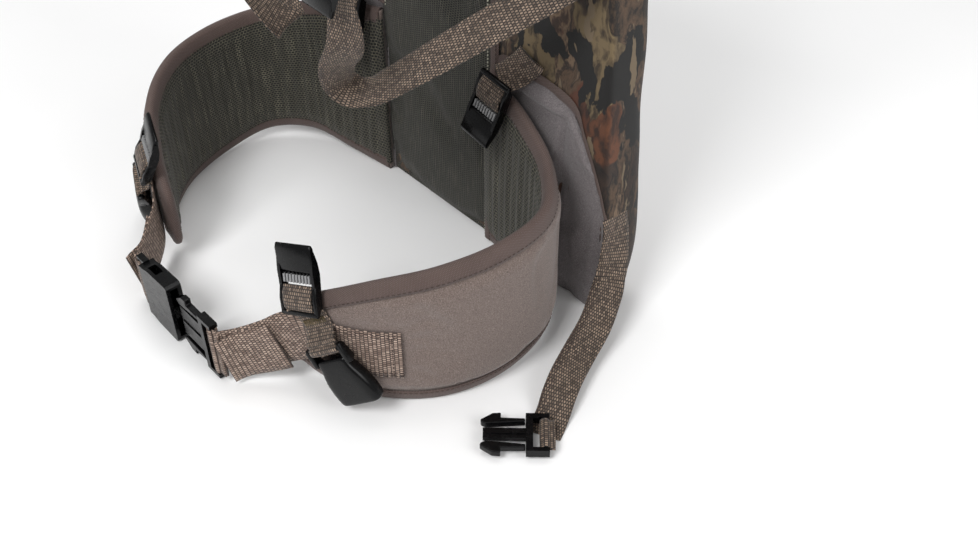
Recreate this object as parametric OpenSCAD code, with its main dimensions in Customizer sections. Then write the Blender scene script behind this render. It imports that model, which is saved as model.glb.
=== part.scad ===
// Safety harness vest: padded back with camouflage shell, two hinged hip wings,
// shoulder pads, harness webbing and moulded buckles. Millimetres, +Z up, wearer faces -Y.

/* [Vest body] */
// Width of the body at the hem
body_w = 372; // [350:2:390]
// Thickness of the body from the lining to the rear
body_t = 44; // [40:1:50]
// Height of the shoulder line above the hem
shoulder_z = 462; // [450:2:480]
// Width of the mesh back panel
mesh_w = 132; // [126:2:136]
// Thickness of the shell, lining and face panels
skin_t = 3; // [2:0.5:4]

/* [Shoulder pads] */
// Thickness of a shoulder pad
pad_t = 11; // [8:1:13]
// Width of a shoulder pad at the shoulder
pad_w = 68; // [60:2:74]
// Width of a shoulder pad at its lower end
pad_end_w = 44; // [38:2:50]

/* [Webbing] */
// Width of the accessory webbing
web_w = 25; // [22:1:26]
// Width of the waist belt webbing
belt_w = 44; // [38:1:45]
// Width of the harness webbing on the back
harness_w = 44; // [40:1:46]
// Thickness of all webbing
web_t = 1.6; // [1.2:0.1:1.8]

/* [Buckles] */
// Radius of the round bars that webbing turns on
bar_r = 2; // [1.6:0.1:2]
// Gap between a bar and the webbing loop on it
bar_gap = 0.4; // [0.35:0.05:0.5]
// Length of a ladder lock from its bar to the end of its tab
lock_l = 42; // [38:1:46]
// Gap between the two halves of the waist buckle at rest
waist_gap = 6; // [4:1:10]

/* [Hidden] */
$fn = 32;

GREY = "#857b79";
CAMO = "#6a4d38";
MESH = "#33342d";
TAPE = "#776561";
WEB = "#8b7567";
BLACK = "#161617";
STEEL = "#a9abad";

face_y = -body_t / 2;
hem_x = body_w / 2;
loop_r = bar_r + bar_gap + web_t;

// Centreline of the left hip wing: x, y, bottom, top and pad thickness, from the back seam to the front end.
WING = [
    [66, -3, 2, 160, 5], [90, -7.5, 4, 156, 10], [114, -13, 7, 151, 12], [152, -27, 15, 140, 12],
    [182, -57, 13, 131, 12], [187, -102, 5, 127, 12], [174, -146, 2, 122, 12],
    [146, -180, 3, 111, 12], [114, -199, 8, 92, 12], [90, -208, 18, 77, 10], [78, -211, 30, 66, 8],
];
WING_STEPS = 5;
HINGE = 4 * WING_STEPS;

// Free webbing routes: x, y, z and the direction of the width.
HIP_ANCHOR = [
    [188.6, 10, 92, 0, 1, 0], [192, 9, 74, 0.1, 1, 0], [197, 3, 54, 0.35, 0.93, -0.1], [199, -1, 46, 0.45, 0.89, -0.1],
];
HIP_ROUTE = [
    [199.5, -2.5, 42, 0.48, 0.87, -0.1], [203, -9, 35, 0.6, 0.78, -0.15], [213, -30, 24, 0.8, 0.5, -0.3],
    [221, -54, 17, 0.83, 0.47, -0.33], [230, -76, 15, 0.85, 0.4, -0.25], [237, -91, 11, 0.88, 0.38, -0.12],
    [242, -101, 5, 0.9, 0.38, 0], [246.5, -110.5, 1.25, 0.92, 0.37, 0], [251, -120, 1.15, 0.93, 0.36, 0],
];
SLING_ROUTE = [
    [70, -140.5, 303, 1, 0, 0], [70, -138, 288, 1, 0.03, 0], [74, -135, 262, 0.95, 0.3, 0],
    [68, -132, 236, 0.75, 0.65, -0.1], [51, -128, 214, 0.5, 0.85, -0.1], [39, -121, 195, 0.3, 0.95, 0],
    [34, -112, 181, 0.1, 0.98, 0.2], [42, -104, 177, -0.1, 0.85, 0.5], [60, -98, 188, -0.3, 0.6, 0.75],
    [92, -84, 216, -0.4, 0.5, 0.8], [124, -58, 246, -0.5, 0.4, 0.8], [152, -28, 272, -0.6, 0.2, 0.8],
    [166, -8, 287, -0.75, 0.1, 0.7], [173, -1.4, 298, -0.8, 0, 0.6],
];
SLING_TOP = 303;
SLING_DRAWN = 0.82;
SHOULDER_ROUTE = [
    [97, 19, 462], [96, -4, 492], [92, -52, 500], [86, -98, 470], [78, -124, 418], [72, -134, 362], [70, -136, 326],
];

// ---- curves ----

function unit(v) = v / norm(v);

// Catmull-Rom curve through points of any dimension, with n steps a stretch.
function smooth_path(p, n) = let (
    last = len(p) - 1,
    q = concat([2 * p[0] - p[1]], p, [2 * p[last] - p[last - 1]])
) [
    for (i = [1:last], k = [0:n - 1]) let (t = k / n, a = q[i - 1], b = q[i], c = q[i + 1], d = q[i + 2])
        (2 * b + (c - a) * t + (2 * a - 5 * b + 4 * c - d) * t * t + (3 * b - a - 3 * c + d) * t * t * t) / 2,
    p[last],
];

function tangent(p, i) = unit(p[min(i + 1, len(p) - 1)] - p[max(i - 1, 0)]);

function xy(v) = [v[0], v[1]];
function xyz(v) = [v[0], v[1], v[2]];

// Outward normal of the wing's centreline in plan.
function wing_out(w, i) = let (t = unit(xy(w[min(i + 1, len(w) - 1)]) - xy(w[max(i - 1, 0)]))) [-t[1], t[0]];

// Closed solid through rings of equal count.
module skin(rings) {
    n = len(rings[0]);
    m = len(rings);
    sides = [
        for (i = [0:m - 2], j = [0:n - 1]) each let (k = (j + 1) % n)
            [[i * n + j, (i + 1) * n + k, i * n + k], [i * n + j, (i + 1) * n + j, (i + 1) * n + k]],
    ];
    polyhedron([for (r = rings) each r], concat([[for (j = [0:n - 1]) j]], sides, [[for (j = [n - 1:-1:0]) (m - 1) * n + j]]));
}

// Flat webbing along a route of x, y, z and width direction.
module ribbon(route, width, thick, steps = 4) {
    p = smooth_path(route, steps);
    line = [for (v = p) xyz(v)];
    skin([
        for (i = [0:len(p) - 1]) let (
            t = tangent(line, i),
            raw = [p[i][3], p[i][4], p[i][5]],
            across = unit(raw - (raw * t) * t),
            up = cross(t, across),
            w = across * width / 2,
            h = up * thick / 2
        ) [line[i] + w + h, line[i] - w + h, line[i] - w - h, line[i] + w - h],
    ]);
}

wing = smooth_path(WING, WING_STEPS);

// A layer of the wing between two offsets from its centreline, given as shares of the pad's half
// thickness plus millimetres, from step a to step b, between two heights.
module wing_layer(a, b, inner, outer, low, high, chamfer = 0) {
    skin([
        for (i = [a:b]) let (
            n = wing_out(wing, i),
            c = xy(wing[i]),
            half = wing[i][4] / 2,
            p = c + n * (inner[0] * half + inner[1]),
            q = c + n * (outer[0] * half + outer[1]),
            side = (q - p) / norm(q - p) * chamfer,
            z0 = wing[i][2] + low,
            z1 = wing[i][3] + high
        ) chamfer == 0
            ? [[p[0], p[1], z0], [q[0], q[1], z0], [q[0], q[1], z1], [p[0], p[1], z1]]
            : [
                [p[0] + side[0], p[1] + side[1], z0], [q[0] - side[0], q[1] - side[1], z0],
                [q[0], q[1], z0 + chamfer], [q[0], q[1], z1 - chamfer],
                [q[0] - side[0], q[1] - side[1], z1], [p[0] + side[0], p[1] + side[1], z1],
                [p[0], p[1], z1 - chamfer], [p[0], p[1], z0 + chamfer],
            ],
    ]);
}

// ---- placing ----

module placed() { translate([0, face_y, 0]) children(); }

module on_side(side) { mirror([side < 0 ? 1 : 0, 0, 0]) placed() children(); }

// Moves a fitting so that its bar lies at p, its length runs along d and its face looks along n.
module fit_at(p, d, n) {
    x = unit(d);
    y = unit(cross(n, x));
    z = cross(x, y);
    multmatrix([[x[0], y[0], z[0], p[0]], [x[1], y[1], z[1], p[1]], [x[2], y[2], z[2], p[2]], [0, 0, 0, 1]])
        children();
}

// Where each fitting's bar lies, and which way it points and faces.
function outer_point(i, off, z) = let (n = wing_out(wing, i), c = xy(wing[i]) + n * (wing[i][4] / 2 + off)) [c[0], c[1], z];
function outer_normal(i) = let (n = wing_out(wing, i)) [n[0], n[1], 0];
function along_wing(i) = let (n = wing_out(wing, i)) [n[1], -n[0], 0];

LOCK_STEP = 42;
LOCK_TAIL = 7;
STRAP_TOP = 1.95;
STUB_Z = 76;
CLIP_STEP = 39;
WING_LOCK = [outer_point(LOCK_STEP, 4, 86), [-0.35, 0.25, 0.9], outer_normal(LOCK_STEP)];
SIDE_LOCK = [[87, -17, 165], [-0.12, -0.32, -0.94], [0, -0.94, 0.34]];
PAD_LOCK = [[70, -142.4, 313], [0, -0.12, -1], [0, -1, 0.12]];
CLIP_FEMALE = [outer_point(CLIP_STEP, 12, 57), [0.47, 0.26, -0.85], outer_normal(CLIP_STEP - 1)];
CLIP_MALE = [[255, -122.5, 7], [-0.685, -0.728, 0], [0, 0, 1]];
MALE_LONG = 45.5;
FEMALE_LONG = 48;
WAIST_X = (MALE_LONG + FEMALE_LONG + waist_gap) / 2;
WAIST_Y = -256;
WAIST_Z = 28;
CHEST_Z = 404;
CHEST_Y = -141;
CHEST_W = 20;
PATCH_Z = 318;
RING_Z = 352;
RING_Y = body_t + 11;
RING_R = 24;
WIRE_R = 4;

// ---- vest body ----

// Half outline of the back, inset by d.
function back_half(d) = [
    for (p = [
        [hem_x - 6, 0], [hem_x + 2, 22], [hem_x + 4, 86], [hem_x - 1, 130], [hem_x - 4, 214],
        [hem_x - 10, 300], [hem_x - 20, 372], [hem_x - 42, 424], [134, shoulder_z - 6], [122, shoulder_z],
        [70, shoulder_z], [60, shoulder_z - 8], [38, shoulder_z - 20], [12, shoulder_z - 25],
    ]) [p[0] - (p[0] > 65 ? d : -d * 0.4), p[1] < 1 ? d : p[1] > 430 ? p[1] - d : p[1]],
];

module back_outline(d) {
    half = back_half(d);
    polygon(concat(half, [for (i = [len(half) - 1:-1:0]) [-half[i][0], half[i][1]]]));
}

// Extrudes an outline in X and Z between two depths behind the lining.
module upright(y0, y1) { translate([0, y1, 0]) rotate([90, 0, 0]) linear_extrude(y1 - y0) children(); }

module face_patch() {
    polygon([
        [mesh_w / 2, -1], [mesh_w / 2, 172], [84, 178], [146, 173], [163, 148], [180, 113],
        [188, 92], [hem_x + 9, 78], [hem_x + 9, -1],
    ]);
}

module back_foam() {
    color("#c9c3b4") placed() upright(skin_t, body_t - skin_t) back_outline(skin_t);
}

module mesh_region() {
    intersection() {
        back_outline(skin_t);
        translate([-mesh_w / 2, 0]) square([mesh_w, shoulder_z]);
    }
}

module back_mesh() { color(MESH) placed() upright(0, skin_t) mesh_region(); }

module side_face(side) {
    color(GREY) on_side(side) upright(0, skin_t) intersection() {
        back_outline(skin_t);
        face_patch();
    }
}

module outer_shell() {
    color(CAMO) placed() difference() {
        upright(0, body_t) back_outline(0);
        upright(skin_t, body_t - skin_t) back_outline(skin_t);
        upright(-1, skin_t) mesh_region();
        for (side = [-1, 1])
            mirror([side < 0 ? 1 : 0, 0, 0]) upright(-1, skin_t) intersection() {
                back_outline(skin_t);
                face_patch();
            }
    }
}

// Tapes that cover the seams between the mesh panel and the shell above the wings.
module root_tape() {
    color(TAPE) for (side = [-1, 1])
        on_side(side) translate([mesh_w / 2 - 3, -1.2, 166]) cube([9, 1.2, shoulder_z - 190]);
}

// ---- hip wings ----

// The pad ends short of the hinge line, where the fabric alone bends.
module root_pad(side) { color(GREY) on_side(side) wing_layer(0, HINGE - 1, [-1, 0], [1, 0], 1.5, -1.5, 1.5); }
module wing_pad(side) {
    color(GREY) on_side(side) wing_layer(HINGE, len(wing) - 1, [-1, 0], [1, 0], 1.5, -1.5, 1.5);
}
module root_mesh(side) { color(MESH) on_side(side) wing_layer(0, HINGE - 1, [-1, -1.5], [-1, 0], 9, -9); }
module wing_mesh(side) { color(MESH) on_side(side) wing_layer(HINGE + 1, len(wing) - 2, [-1, -1.5], [-1, 0], 9, -9); }

module edge_strip(a, b, top) {
    skin([
        for (i = [a:b]) let (
            n = wing_out(wing, i),
            half = wing[i][4] / 2 - 1.5,
            p = xy(wing[i]) - n * half,
            q = xy(wing[i]) + n * half,
            z = top ? wing[i][3] - 1.5 : wing[i][2]
        ) [[p[0], p[1], z], [q[0], q[1], z], [q[0], q[1], z + 1.5], [p[0], p[1], z + 1.5]],
    ]);
}

module root_binding() {
    color(TAPE) for (side = [-1, 1], top = [false, true]) on_side(side) edge_strip(0, HINGE - 1, top);
}
module wing_binding(side) {
    color(TAPE) on_side(side) for (top = [false, true]) edge_strip(HINGE, len(wing) - 1, top);
}

// Belt webbing on the outside of the wing, running on past its front end to the waist buckle.
BELT_STEP = 33;
BELT_ROUTE = concat(
    [for (i = [BELT_STEP:2:43]) let (p = outer_point(i, web_t / 2 + 0.05, 52)) [p[0], p[1], p[2], 0, 0, 1]],
    [[86, -221, 42, 0, 0, 1], [70, -240, 33, 0, 0, 1], [WAIST_X + loop_r + 4, WAIST_Y + 1, WAIST_Z + 1, 0, 0, 1]]
);

module belt_web(side) {
    color(WEB) on_side(side) {
        ribbon(BELT_ROUTE, belt_w, web_t, 2);
        fit_at([WAIST_X, WAIST_Y, WAIST_Z], [-1, 0, 0], [0, -1, 0]) web_loop(belt_w, loop_r + 1.5);
    }
}

// ---- webbing loops and fittings, in their own frame: bar along Y at the origin, length along +X, face +Z ----

// A sewn loop of webbing round a bar, with a doubled tail behind it.
module web_loop(width, tail) {
    rotate([90, 0, 0]) linear_extrude(width, center = true) difference() {
        union() {
            circle(loop_r);
            translate([-tail, -web_t]) square([tail - bar_r, 2 * web_t]);
        }
        circle(bar_r + bar_gap);
    }
}

module round_bar(width) { rotate([90, 0, 0]) cylinder(r = bar_r, h = width, center = true); }

// Ladder lock: round anchor bar, gripping bar with ribs, and a lifted tab.
module ladder_lock() {
    half = web_w / 2 + 3;
    slot = web_w + 1;
    color(BLACK) {
        round_bar(2 * half);
        for (s = [-1, 1])
            translate([0, s * (half - 1.25), 0]) rotate([90, 0, 0]) linear_extrude(2.5, center = true)
                polygon([
                    [-3, -2.4], [22, -3], [30, -1.5], [lock_l - 4, 1.5], [lock_l - 4, 4], [24, 4.6], [12, 4], [-3, 2.4],
                ]);
        translate([8.5, -slot / 2, -1.6]) cube([4, slot, 3.4]);
        rotate([90, 0, 0]) linear_extrude(slot, center = true)
            polygon([
                [18, -2.6], [22, -3], [30, -1.5], [lock_l - 1, 2], [lock_l, 3.4], [lock_l - 1, 4.4], [30, 2.8], [18, 1.6],
            ]);
        for (k = [0:6])
            translate([18.5, -10.2 + k * 3.2, 1.4]) cube([4, 1.2, 1.4]);
    }
}

// Male half of a side-release buckle for webbing of the given width, without its prongs.
module male_half(width) {
    half = width / 2 + 4.5;
    color(BLACK) {
        round_bar(width + 2);
        for (s = [-1, 1])
            translate([-3, s * (half - 1.75) - 1.75, -3.4]) cube([16, 3.5, 6.8]);
        translate([8.5, -half, -3.4]) cube([5, 2 * half, 6.8]);
        translate([13, 12.5 - half, -1.8]) cube([MALE_LONG - 15, 2 * half - 25, 3.6]);
        translate([13, -1, -2.6]) cube([MALE_LONG - 17, 2, 5.2]);
    }
}

// One sprung prong of the male half: a slim arm with a wide barbed head.
module prong(width, s) {
    half = width / 2 + 4.5;
    color(BLACK) mirror([0, s < 0 ? 1 : 0, 0]) translate([0, 0, -2.6]) linear_extrude(5.2)
        polygon([
            [13.9, half - 7], [30, half - 8.5], [34, half - 9], [42, half - 9.4], [45, half - 7.5],
            [MALE_LONG, half - 5.5], [37, half + 0.5], [31, half + 1], [31, half - 3.5], [13.9, half - 4],
        ]);
}

// Female half: a flat hollow housing with side windows and a webbing bar at its narrow end.
module female_half(width) {
    half = width / 2 + 4.5;
    wall = 3;
    color(BLACK) {
        round_bar(width + 4);
        for (s = [-1, 1])
            translate([-2, s * (width / 2 + 2.5) - 1.5, -2.5]) cube([11, 3, 5]);
        difference() {
            translate([0, 0, -6.2]) linear_extrude(12.4) polygon([
                [7.5, 2 - half], [7.5, half - 2], [13, half - 2], [20, half], [FEMALE_LONG - 2, half + 1],
                [FEMALE_LONG, half - 1], [FEMALE_LONG, 1 - half], [FEMALE_LONG - 2, -half - 1], [20, -half], [13, 2 - half],
            ]);
            translate([11, wall - half, wall - 6.2]) cube([FEMALE_LONG, 2 * (half - wall), 2 * (6.2 - wall)]);
            for (s = [-1, 1])
                translate([16, s * half - 5, wall - 6.2]) cube([13, 10, 2 * (6.2 - wall)]);
        }
    }
}

module lock_stub(side) {
    color(WEB) on_side(side) {
        fit_at(WING_LOCK[0], WING_LOCK[1], WING_LOCK[2]) web_loop(web_w, LOCK_TAIL);
        p = outer_point(LOCK_STEP, web_t / 2 + 0.05, 0);
        q = WING_LOCK[0] - unit(WING_LOCK[1]) * (LOCK_TAIL - 0.2);
        a = along_wing(LOCK_STEP);
        bar = unit(cross(WING_LOCK[2], WING_LOCK[1]));
        ribbon([
            [p[0], p[1], STUB_Z, a[0], a[1], 0], [p[0], p[1], STUB_Z + 3, a[0], a[1], 0], concat(q, bar),
        ], web_w - 4, web_t, 3);
    }
}

// Webbing stub of the side clip: a loop round its bar that steps down to the wing behind it.
module clip_stub(side) {
    color(WEB) on_side(side) fit_at(CLIP_FEMALE[0], CLIP_FEMALE[1], CLIP_FEMALE[2])
        rotate([90, 0, 0]) linear_extrude(web_w, center = true) difference() {
            union() {
                circle(loop_r);
                polygon([
                    [-2, -web_t], [-2, web_t], [-7, web_t], [-12, -7.4], [-20, -9.4], [-20, -11], [-11, -9], [-6.4, -web_t],
                ]);
            }
            circle(bar_r + bar_gap);
        }
}

module lock_anchors() {
    color(WEB) for (side = [-1, 1]) on_side(side) {
        fit_at(SIDE_LOCK[0], SIDE_LOCK[1], SIDE_LOCK[2]) web_loop(web_w, 6);
        ribbon([[106, -1, 190, 0.8, 0, -0.6], [100, -2.5, 182, 0.85, 0, -0.5],
            [94, -8, 176, 0.95, 0, -0.3], [88.5, -14, 172, 1, 0, -0.13]], web_w, web_t, 3);
    }
}

module wing_lock(side) { on_side(side) fit_at(WING_LOCK[0], WING_LOCK[1], WING_LOCK[2]) ladder_lock(); }
module side_lock(side) { on_side(side) fit_at(SIDE_LOCK[0], SIDE_LOCK[1], SIDE_LOCK[2]) ladder_lock(); }
module pad_lock(side) { on_side(side) fit_at(PAD_LOCK[0], PAD_LOCK[1], PAD_LOCK[2]) ladder_lock(); }
module clip_female(side) {
    on_side(side) fit_at(CLIP_FEMALE[0], CLIP_FEMALE[1], CLIP_FEMALE[2]) female_half(web_w);
}
module clip_male(side) { on_side(side) fit_at(CLIP_MALE[0], CLIP_MALE[1], CLIP_MALE[2]) male_half(web_w); }
// The prong of the side clip on one edge of it: s is 1 or -1.
module clip_prong(side, s) { on_side(side) fit_at(CLIP_MALE[0], CLIP_MALE[1], CLIP_MALE[2]) prong(web_w, s); }

module hip_strap(side) {
    color(WEB) on_side(side) {
        ribbon(HIP_ROUTE, web_w, web_t);
        // The loop's tail is sewn down to the strap below it.
        fit_at(CLIP_MALE[0], CLIP_MALE[1], CLIP_MALE[2]) {
            web_loop(web_w, 7);
            translate([-7, 1 - web_w / 2, STRAP_TOP - CLIP_MALE[0][2]])
                cube([1.6, web_w - 8, CLIP_MALE[0][2] - STRAP_TOP - web_t]);
        }
    }
}

module hip_anchors() {
    color(WEB) for (side = [-1, 1]) on_side(side) ribbon(HIP_ANCHOR, web_w, web_t);
}

module waist_at(side) { on_side(side) fit_at([WAIST_X, WAIST_Y, WAIST_Z], [-1, 0, 0], [0, -1, 0]) children(); }
module waist_male() { waist_at(1) male_half(belt_w); }
module waist_female() { waist_at(-1) female_half(belt_w); }
module waist_prong(s) { waist_at(1) prong(belt_w, s); }

// ---- shoulders ----

shoulder = smooth_path(SHOULDER_ROUTE, 5);

// A layer of the shoulder pad between two offsets from its centreline.
module shoulder_layer(inner, outer, width0, width1, trim = 0) {
    m = len(shoulder) - 1 - trim;
    skin([
        for (i = [0:m]) let (
            t = tangent(shoulder, i),
            n = unit(cross([1, 0, 0], t)),
            width = width0 + (width1 - width0) * pow(i / m, 1.5),
            w = unit([1, 0, 0] - t[0] * t) * width / 2
        ) [
            shoulder[i] + w + n * inner, shoulder[i] - w + n * inner,
            shoulder[i] - w + n * outer, shoulder[i] + w + n * outer,
        ],
    ]);
}

module shoulder_pad(side) { color(CAMO) on_side(side) shoulder_layer(-pad_t / 2, pad_t / 2, pad_w, pad_end_w); }
module shoulder_mesh(side) {
    color(MESH) on_side(side) shoulder_layer(pad_t / 2 + 0.05, pad_t / 2 + 1.6, pad_w - 10, pad_end_w - 8, 1);
}

// Webbing sewn along the outside of the shoulder pad, ending in the loop that holds its ladder lock.
module shoulder_web(side) {
    color(WEB) on_side(side) {
        shoulder_layer(-pad_t / 2 - 0.05 - web_t, -pad_t / 2 - 0.05, harness_w, web_w);
        fit_at(PAD_LOCK[0], PAD_LOCK[1], PAD_LOCK[2]) web_loop(web_w, 11);
    }
}

// The right side is drawn up shorter than the left.
function sling_route(side) = [
    for (v = SLING_ROUTE) let (share = side < 0 ? SLING_DRAWN : 1)
        [v[0], v[1], SLING_TOP - (SLING_TOP - v[2]) * share, v[3], v[4], v[5]],
];
module sling_web(side) { color(WEB) on_side(side) ribbon(sling_route(side), web_w, web_t); }

// Chest strap: two lengths of webbing and a small closed buckle between them.
module chest_strap() {
    color(WEB) for (side = [-1, 1])
        on_side(side) ribbon([
            [92, CHEST_Y + 11, CHEST_Z, 0, 0, 1], [70, CHEST_Y + 7, CHEST_Z, 0, 0, 1],
            [48, CHEST_Y + 1.5, CHEST_Z - 2, 0, 0, 1], [21, CHEST_Y, CHEST_Z - 3, 0, 0, 1],
        ], CHEST_W, web_t);
}

module chest_clip() {
    color(BLACK) placed() translate([0, CHEST_Y, CHEST_Z - 3]) rotate([90, 0, 0]) {
        linear_extrude(9, center = true) polygon([
            [-20, -12], [-4, -14.5], [8, -14.5], [20, -12], [20, 12], [8, 14.5], [-4, 14.5], [-20, 12],
        ]);
    }
}

// ---- back of the harness ----

// Harness webbing sewn on the back: two straps that cross under the dorsal patch, one over the other.
module harness_web() {
    color(WEB) placed() for (side = [-1, 1]) {
        y = body_t + 0.05 + (side > 0 ? 0 : web_t + 0.05);
        upright(y, y + web_t) mirror([side < 0 ? 1 : 0, 0]) polygon([
            [96 - harness_w / 2, shoulder_z - 4], [96 + harness_w / 2, shoulder_z - 4], [harness_w / 2 + 6, PATCH_Z],
            [-134 + harness_w / 2, 96], [-134 - harness_w / 2, 96], [-harness_w / 2 - 6, PATCH_Z - 8],
        ]);
    }
    color(WEB) placed() upright(body_t + 0.05, body_t + 0.05 + web_t)
        translate([-156, 96 - harness_w - 0.1]) square([312, harness_w]);
}

module dorsal_patch() {
    y = body_t + 0.15 + 2 * web_t;
    color(BLACK) placed() {
        upright(y, y + 3) polygon([
            [-34, PATCH_Z - 30], [34, PATCH_Z - 30], [42, PATCH_Z - 20], [42, PATCH_Z + 20],
            [34, PATCH_Z + 30], [-34, PATCH_Z + 30], [-42, PATCH_Z + 20], [-42, PATCH_Z - 20],
        ]);
        translate([0, RING_Y, RING_Z]) rotate([0, 90, 0]) difference() {
            union() {
                cylinder(r = WIRE_R + bar_gap + 2.4, h = 38, center = true);
                translate([0, y - RING_Y, -19]) cube([26, 3, 38]);
            }
            cylinder(r = WIRE_R + bar_gap, h = 40, center = true);
        }
    }
}

// Steel D-shaped ring: a straight bar in the patch's keeper and a round bow below it.
module dorsal_ring() {
    color(STEEL) placed() translate([0, RING_Y, RING_Z]) {
        rotate([0, 90, 0]) cylinder(r = WIRE_R, h = 2 * RING_R, center = true);
        for (s = [-1, 1])
            translate([s * RING_R, 0, 0]) {
                sphere(r = WIRE_R);
                translate([0, 0, -22]) cylinder(r = WIRE_R, h = 22);
            }
        translate([0, 0, -22]) rotate([-90, 0, 0]) rotate_extrude(angle = 180) translate([RING_R, 0]) circle(r = WIRE_R);
    }
}

module haul_loop() {
    z = shoulder_z - 25;
    color(WEB) placed() translate([0, 30, 0]) ribbon([
        [-30, 0, z + 1, 0, 1, 0], [-27, 0, z + 14, 0, 1, 0], [-12, 0, z + 26, 0, 1, 0],
        [12, 0, z + 26, 0, 1, 0], [27, 0, z + 14, 0, 1, 0], [30, 0, z + 1, 0, 1, 0],
    ], 20, web_t);
}

back_foam();
outer_shell();
back_mesh();
side_face(1);  // side_face_left
side_face(-1);  // side_face_right
root_tape();
root_pad(1);  // root_pad_left
root_pad(-1);  // root_pad_right
root_mesh(1);  // root_mesh_left
root_mesh(-1);  // root_mesh_right
root_binding();
shoulder_pad(1);  // shoulder_pad_left
shoulder_pad(-1);  // shoulder_pad_right
shoulder_mesh(1);  // shoulder_mesh_left
shoulder_mesh(-1);  // shoulder_mesh_right
shoulder_web(1);  // shoulder_web_left
shoulder_web(-1);  // shoulder_web_right
sling_web(1);  // sling_web_left
sling_web(-1);  // sling_web_right
lock_anchors();
hip_anchors();
hip_strap(1);  // hip_strap_left
hip_strap(-1);  // hip_strap_right
harness_web();
dorsal_patch();
dorsal_ring();
haul_loop();
chest_strap();
chest_clip();
wing_pad(1);  // wing_pad_left
wing_pad(-1);  // wing_pad_right
wing_mesh(1);  // wing_mesh_left
wing_mesh(-1);  // wing_mesh_right
wing_binding(1);  // wing_binding_left
wing_binding(-1);  // wing_binding_right
belt_web(1);  // belt_web_left
belt_web(-1);  // belt_web_right
lock_stub(1);  // lock_stub_left
lock_stub(-1);  // lock_stub_right
clip_stub(1);  // clip_stub_left
clip_stub(-1);  // clip_stub_right
wing_lock(1);  // wing_lock_left
wing_lock(-1);  // wing_lock_right
side_lock(1);  // side_lock_left
side_lock(-1);  // side_lock_right
pad_lock(1);  // pad_lock_left
pad_lock(-1);  // pad_lock_right
clip_female(1);  // clip_female_left
clip_female(-1);  // clip_female_right
clip_male(1);  // clip_male_left
clip_male(-1);  // clip_male_right
clip_prong(1, 1);  // clip_prong_rear_left
clip_prong(1, -1);  // clip_prong_front_left
clip_prong(-1, 1);  // clip_prong_rear_right
clip_prong(-1, -1);  // clip_prong_front_right
waist_male();
waist_female();
waist_prong(1);  // waist_prong_upper
waist_prong(-1);  // waist_prong_lower
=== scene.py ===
"""Safety harness vest: fabric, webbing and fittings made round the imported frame.

Design numbers are millimetres in the vest's own frame, with y = 0 at the lining face of the back;
spot() turns them into the row frame in metres. The wearer faces -Y and +X is the wearer's left.
"""
import math

import bpy
import numpy as np
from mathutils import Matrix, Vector


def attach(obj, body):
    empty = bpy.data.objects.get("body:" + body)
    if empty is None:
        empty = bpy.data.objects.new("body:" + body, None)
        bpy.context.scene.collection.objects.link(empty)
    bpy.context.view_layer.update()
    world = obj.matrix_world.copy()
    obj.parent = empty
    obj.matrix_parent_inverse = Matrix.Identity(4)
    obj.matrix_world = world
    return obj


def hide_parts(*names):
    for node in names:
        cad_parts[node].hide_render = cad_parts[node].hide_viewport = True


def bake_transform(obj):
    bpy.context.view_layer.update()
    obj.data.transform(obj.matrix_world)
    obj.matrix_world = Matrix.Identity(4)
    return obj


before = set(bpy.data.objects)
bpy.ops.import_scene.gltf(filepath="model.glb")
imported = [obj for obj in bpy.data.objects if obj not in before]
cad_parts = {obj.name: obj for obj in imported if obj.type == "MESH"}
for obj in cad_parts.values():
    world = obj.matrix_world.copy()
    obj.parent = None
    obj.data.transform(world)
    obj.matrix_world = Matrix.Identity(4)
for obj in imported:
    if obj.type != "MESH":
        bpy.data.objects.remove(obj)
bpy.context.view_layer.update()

MM = 0.001
FACE_Y = -22.0
SIDES = {"left": 1, "right": -1}
WEB = 25.0
BELT = 44.0
WEB_T = 1.6
CLOTH_FRAMES = 20
scene = bpy.context.scene

# ---- routes and places, as in part.scad

WING = [
    (66, -3, 2, 160, 5), (90, -7.5, 4, 156, 10), (114, -13, 7, 151, 12), (152, -27, 15, 140, 12),
    (182, -57, 13, 131, 12), (187, -102, 5, 127, 12), (174, -146, 2, 122, 12),
    (146, -180, 3, 111, 12), (114, -199, 8, 92, 12), (90, -208, 18, 77, 10), (78, -211, 30, 66, 8),
]
HIP_ANCHOR = [
    (188.6, 10, 92, 0, 1, 0), (192, 9, 74, 0.1, 1, 0), (197, 3, 54, 0.35, 0.93, -0.1),
    (199, -1, 46, 0.45, 0.89, -0.1),
]
HIP_ROUTE = [
    (199.5, -2.5, 42, 0.48, 0.87, -0.1), (203, -9, 35, 0.6, 0.78, -0.15), (213, -30, 24, 0.8, 0.5, -0.3),
    (221, -54, 17, 0.83, 0.47, -0.33), (230, -76, 15, 0.85, 0.4, -0.25), (237, -91, 11, 0.88, 0.38, -0.12),
    (242, -101, 5, 0.9, 0.38, 0), (246.5, -110.5, 1.25, 0.92, 0.37, 0), (251, -120, 1.15, 0.93, 0.36, 0),
]
SLING_ROUTE = [
    (70, -140.5, 303, 1, 0, 0), (70, -138, 288, 1, 0.03, 0), (74, -135, 262, 0.95, 0.3, 0),
    (68, -132, 236, 0.75, 0.65, -0.1), (51, -128, 214, 0.5, 0.85, -0.1), (39, -121, 195, 0.3, 0.95, 0),
    (34, -112, 181, 0.1, 0.98, 0.2), (42, -104, 177, -0.1, 0.85, 0.5), (60, -98, 188, -0.3, 0.6, 0.75),
    (92, -84, 216, -0.4, 0.5, 0.8), (124, -58, 246, -0.5, 0.4, 0.8), (152, -28, 272, -0.6, 0.2, 0.8),
    (166, -8, 287, -0.75, 0.1, 0.7), (173, -1.4, 298, -0.8, 0, 0.6),
]
SHOULDER_ROUTE = [
    (97, 19, 462), (96, -4, 492), (92, -52, 500), (86, -98, 470), (78, -124, 418), (72, -134, 362),
    (70, -136, 326),
]
SLING_TOP = 303
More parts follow.
